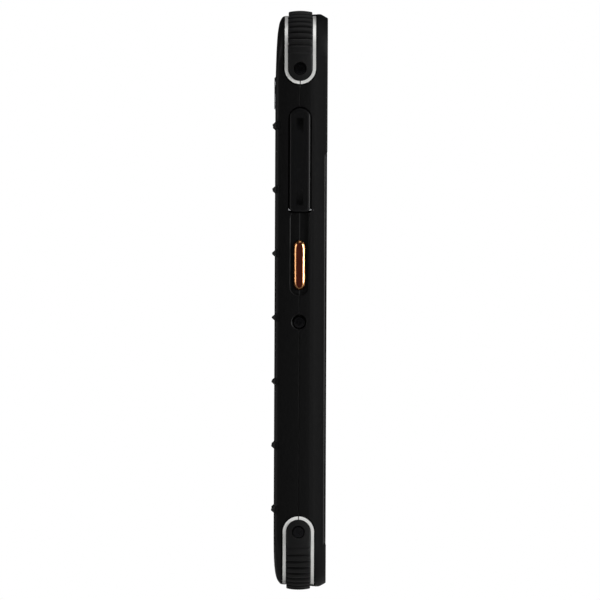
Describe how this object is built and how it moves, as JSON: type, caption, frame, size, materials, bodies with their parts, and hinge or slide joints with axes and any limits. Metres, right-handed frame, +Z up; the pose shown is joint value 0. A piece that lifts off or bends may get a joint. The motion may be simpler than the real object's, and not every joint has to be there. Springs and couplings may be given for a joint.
{
  "type": "data collector",
  "caption": "Rugged handheld data collector for field surveying: a flat upright touch-screen computer with ribbed corner bumpers, side keys and sealed port covers.",
  "frame": {"origin": "centre of the object's bounding box", "axes": "+Z up along the length, display towards -Y, back towards +Y; the card slot cover and function key are on -X, the power and volume keys on +X"},
  "size_m": [0.095, 0.0186, 0.195],
  "materials": {
    "casing_plastic": "satin moulded plastic",
    "seal_rubber": "matt silicone",
    "bumper_rubber": "matt ribbed rubber",
    "cover_plastic": "satin",
    "key_plastic": "satin",
    "anodised_copper": "anodised, with a bright cut edge",
    "bright_trim": "satin plated",
    "cover_glass": "gloss, black printed border",
    "display": "switched off",
    "frame_magnesium": "cast, bead blasted",
    "circuit_board": "solder mask",
    "shield_metal": "tinned",
    "card_plastic": "plain",
    "memory_plastic": "plain",
    "battery_foil": "dull wrap",
    "flex_polyimide": "copper on film",
    "antenna_ceramic": "ceramic",
    "module_black": "plain",
    "mesh_steel": "black woven",
    "ring_metal": "satin",
    "lens_glass": "coated",
    "flash_lens": "frosted",
    "pin_steel": "ground",
    "screw_steel": "black zinc"
  },
  "bodies": {
    "device": {"front_casing": "casing_plastic", "rear_casing": "casing_plastic", "casing_seal": "seal_rubber", "mid_frame": "frame_magnesium", "display_glass": "cover_glass", "display_panel": "display", "display_gasket": "seal_rubber", "main_board": "circuit_board", "processor_shield": "shield_metal", "modem_shield": "shield_metal", "card_socket": "shield_metal", "sim_card": "card_plastic", "memory_card": "memory_plastic", "sub_board": "circuit_board", "battery_pack": "battery_foil", "battery_flex": "flex_polyimide", "gnss_antenna": "antenna_ceramic", "cellular_antenna": "flex_polyimide", "wifi_antenna": "flex_polyimide", "earpiece": "module_black", "earpiece_mesh": "mesh_steel", "front_camera": "module_black", "rear_camera": "module_black", "camera_ring": "ring_metal", "camera_window": "lens_glass", "flash_window": "flash_lens", "loudspeaker": "module_black", "speaker_mesh": "mesh_steel", "vibration_motor": "shield_metal", "microphone": "shield_metal", "usb_socket": "shield_metal", "usb_cover_pin": "pin_steel", "card_cover_pin": "pin_steel", "function_key_seal": "seal_rubber", "function_key_switch": "shield_metal", "right_key_seals": "seal_rubber", "right_key_switches": "shield_metal", "bumper_top_left": "bumper_rubber", "bumper_top_right": "bumper_rubber", "bumper_bottom_left": "bumper_rubber", "bumper_bottom_right": "bumper_rubber", "trim_front_top_left": "bright_trim", "trim_rear_top_left": "bright_trim", "trim_front_top_right": "bright_trim", "trim_rear_top_right": "bright_trim", "trim_front_bottom_left": "bright_trim", "trim_rear_bottom_left": "bright_trim", "trim_front_bottom_right": "bright_trim", "trim_rear_bottom_right": "bright_trim", "bumper_screws": "screw_steel", "side_screws": "screw_steel", "board_screws": "screw_steel"},
    "card_cover": {"card_cover": "cover_plastic", "card_cover_seal": "seal_rubber"},
    "usb_cover": {"usb_cover": "cover_plastic", "usb_cover_seal": "seal_rubber"},
    "function_key": {"function_key": "anodised_copper"},
    "power_key": {"power_key": "key_plastic"},
    "volume_up_key": {"volume_up_key": "key_plastic"},
    "volume_down_key": {"volume_down_key": "key_plastic"}
  },
  "joints": [
    {"name": "card_cover_swing", "type": "hinge", "parent": "device", "child": "card_cover", "pos_m": [-0.0455, 0, 0.03035], "axis": [0, -1, 0], "range_deg": [0, 100]},
    {"name": "usb_cover_swing", "type": "hinge", "parent": "device", "child": "usb_cover", "pos_m": [0.00785, 0, -0.095], "axis": [0, -1, 0], "range_deg": [0, 100]},
    {"name": "function_press", "type": "slide", "parent": "device", "child": "function_key", "axis": [1, 0, 0], "range_m": [0, 0.0005], "stiffness_N_per_m": 300},
    {"name": "power_press", "type": "slide", "parent": "device", "child": "power_key", "axis": [-1, 0, 0], "range_m": [0, 0.0005], "stiffness_N_per_m": 300},
    {"name": "volume_up_press", "type": "slide", "parent": "device", "child": "volume_up_key", "axis": [-1, 0, 0], "range_m": [0, 0.0005], "stiffness_N_per_m": 300},
    {"name": "volume_down_press", "type": "slide", "parent": "device", "child": "volume_down_key", "axis": [-1, 0, 0], "range_m": [0, 0.0005], "stiffness_N_per_m": 300}
  ]
}
